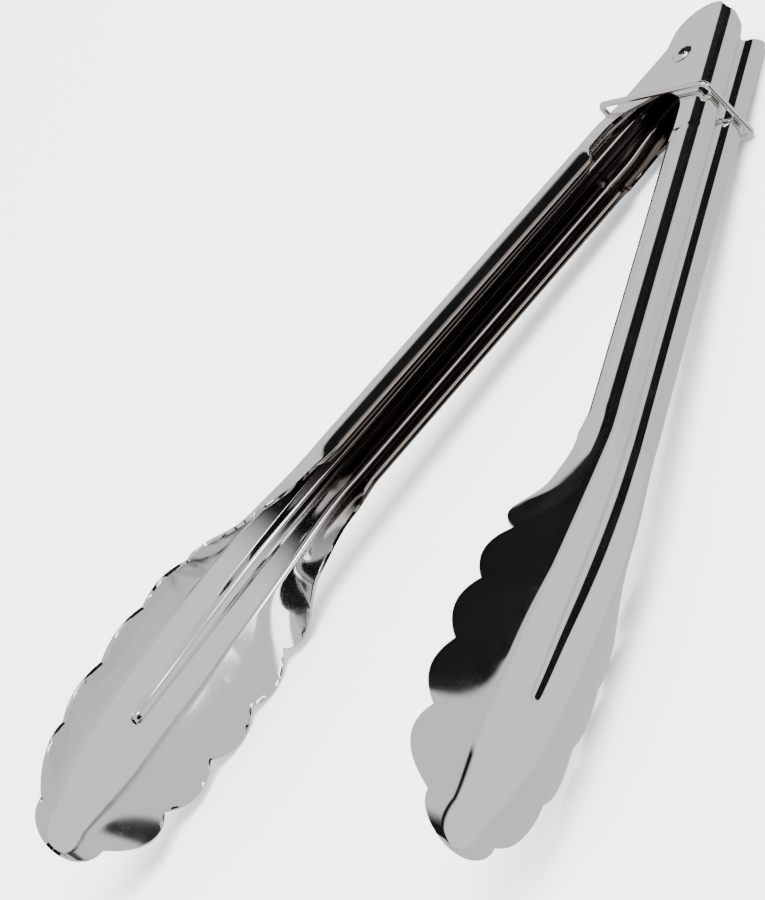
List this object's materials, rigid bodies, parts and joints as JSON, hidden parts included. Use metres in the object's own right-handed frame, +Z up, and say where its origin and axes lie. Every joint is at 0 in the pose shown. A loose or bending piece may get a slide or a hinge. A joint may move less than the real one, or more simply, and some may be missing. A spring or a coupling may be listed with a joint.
{
  "type": "kitchen tongs",
  "caption": "Spring loaded scalloped serving tongs: two pressed steel arms on a rivet, a torsion spring between them, and a sliding wire lock ring.",
  "frame": {"origin": "centre of the bounding box in plan, on the surface the tongs lie on", "axes": "+X along the middle line between the open arms, from the rivet to the spoons; +Y towards the outer arm; +Z up from the surface. The tongs lie on one side, so the rivet stands nearly upright, leaning 4 degrees towards -X"},
  "size_m": [0.2962, 0.1892, 0.0532],
  "materials": {
    "arm_steel": "mirror polished stainless steel sheet",
    "rivet_steel": "polished stainless steel",
    "spring_wire": "drawn spring steel wire",
    "ring_wire": "bright plated steel wire"
  },
  "bodies": {
    "outer": {"outer_arm": "arm_steel", "torsion_spring": "spring_wire"},
    "inner": {"inner_arm": "arm_steel"},
    "rivet": {"pivot_rivet": "rivet_steel"},
    "ring": {"lock_ring": "ring_wire"}
  },
  "joints": [
    {"name": "arm_pivot", "type": "hinge", "parent": "outer", "child": "inner", "pos_m": [-0.12732, 0, 0.01084], "axis": [-0.0708, 0, 0.9975], "range_deg": [0, 36.1], "stiffness_Nm_per_rad": 0.12, "springref_deg": -34.38, "deforming": ["torsion_spring"]},
    {"name": "rivet_turn", "type": "hinge", "parent": "outer", "child": "rivet", "pos_m": [-0.12732, 0, 0.01084], "axis": [-0.0708, 0, 0.9975], "range_deg": [0, 18.05]},
    {"name": "ring_slide", "type": "slide", "parent": "rivet", "child": "ring", "axis": [0.9975, 0, 0.0708], "range_m": [0, 0.0215]}
  ],
  "couplings": [
    {"joint": "rivet_turn", "follows": "arm_pivot", "ratio": 0.5},
    {"joint": "ring_slide", "follows": "arm_pivot", "m_per_rad": 0.034}
  ]
}
